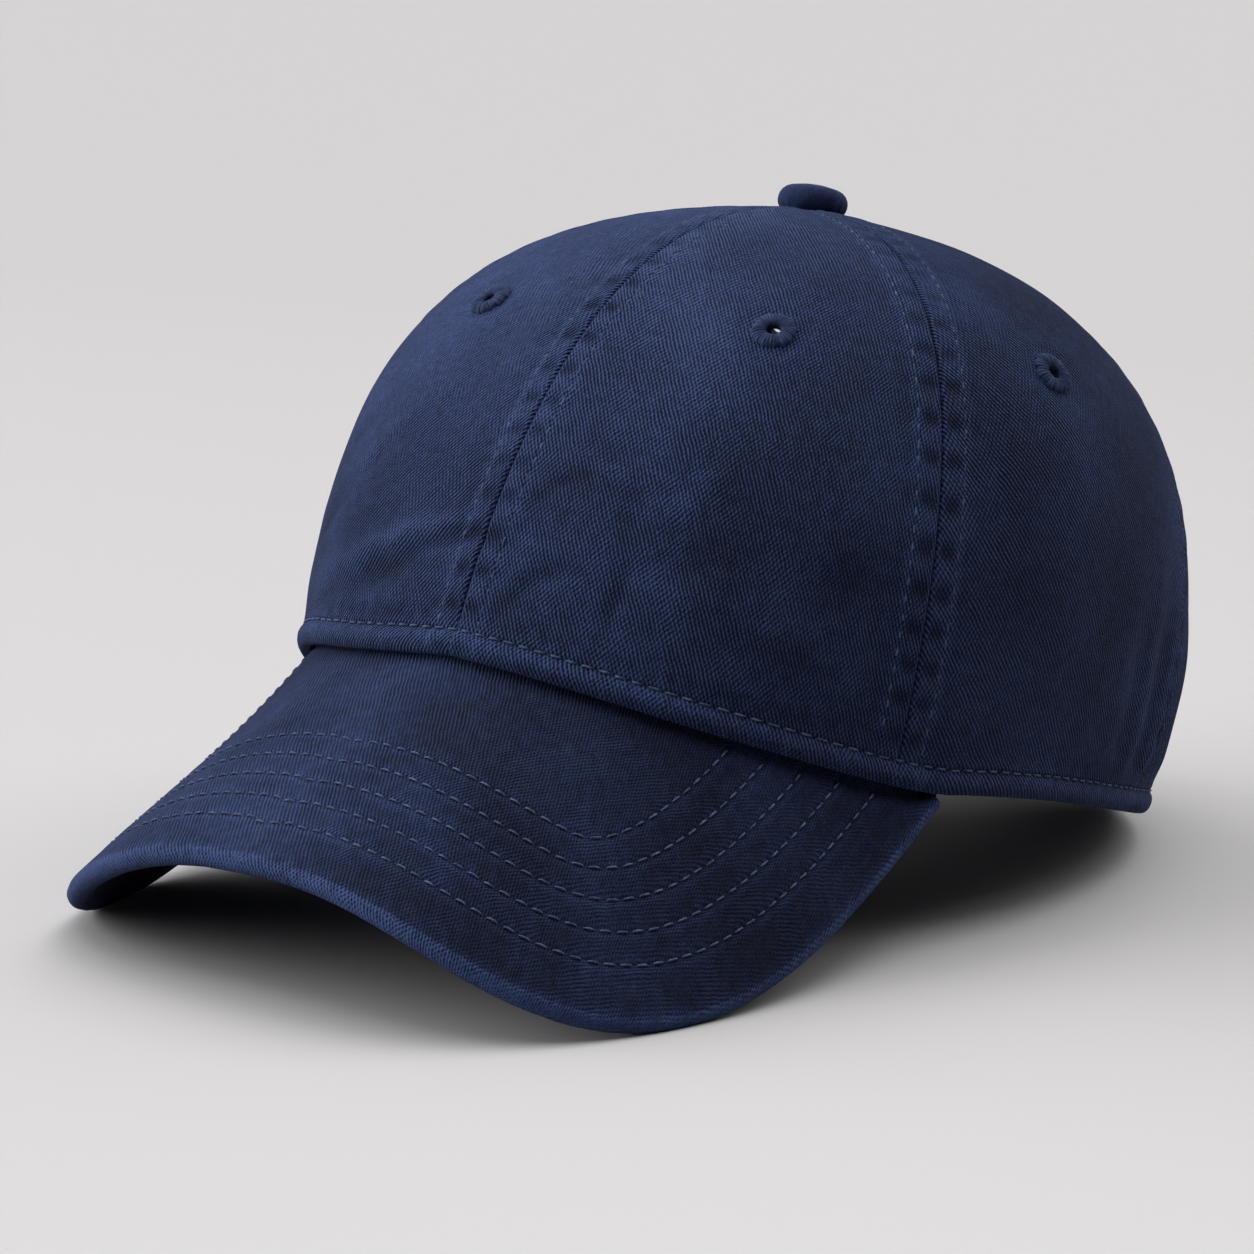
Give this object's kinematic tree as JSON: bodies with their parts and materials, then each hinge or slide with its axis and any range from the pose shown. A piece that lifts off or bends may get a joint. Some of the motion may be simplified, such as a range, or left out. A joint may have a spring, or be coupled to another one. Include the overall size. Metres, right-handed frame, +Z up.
{
  "type": "baseball cap",
  "caption": "Soft cloth baseball cap with a curved stitched visor, covered top button, stitched eyelets and an arched back opening closed by a buckled strap.",
  "frame": {"origin": "middle of the bounding box's base, on the floor that the cap rests on", "axes": "+X to the wearer's left, -Y toward the visor, +Z up from the floor; the crown's own axis leans back 13.6 degrees toward +Y"},
  "size_m": [0.1786, 0.2652, 0.1446],
  "materials": {
    "twill": "washed cotton twill",
    "thread": "satin stitching",
    "band": "plain cotton",
    "tape": "plain cotton tape",
    "board": "moulded sheet",
    "button_metal": "plain",
    "buckle_metal": "antique"
  },
  "bodies": {
    "cap": {"front_panel_left": "twill", "front_panel_right": "twill", "side_panel_left": "twill", "side_panel_right": "twill", "back_panel_left": "twill", "back_panel_right": "twill", "eyelet_front_left": "thread", "eyelet_front_right": "thread", "eyelet_side_left": "thread", "eyelet_side_right": "thread", "eyelet_back_left": "thread", "eyelet_back_right": "thread", "button_cover": "twill", "button_core": "button_metal", "button_washer": "button_metal", "visor_top_cloth": "twill", "visor_board": "board", "visor_under_cloth": "twill", "sweatband": "band", "seam_tape_front": "tape", "seam_tape_front_left": "tape", "seam_tape_front_right": "tape", "seam_tape_rear_left": "tape", "seam_tape_rear_right": "tape", "seam_tape_back": "tape", "arch_binding": "twill", "strap_tab": "twill", "buckle_frame": "buckle_metal", "buckle_pin": "buckle_metal"},
    "strap": {"strap": "twill"},
    "lever": {"buckle_lever": "buckle_metal"}
  },
  "joints": [
    {"name": "strap_slide", "type": "hinge", "parent": "cap", "child": "strap", "pos_m": [0, 0.06254, 0.02915], "axis": [0, 0.235, 0.972], "range_deg": [-10, 10]},
    {"name": "lever_open", "type": "hinge", "parent": "cap", "child": "lever", "pos_m": [-0.00352, 0.12787, 0.01336], "axis": [0, -0.235, -0.972], "range_deg": [0, 105]}
  ]
}
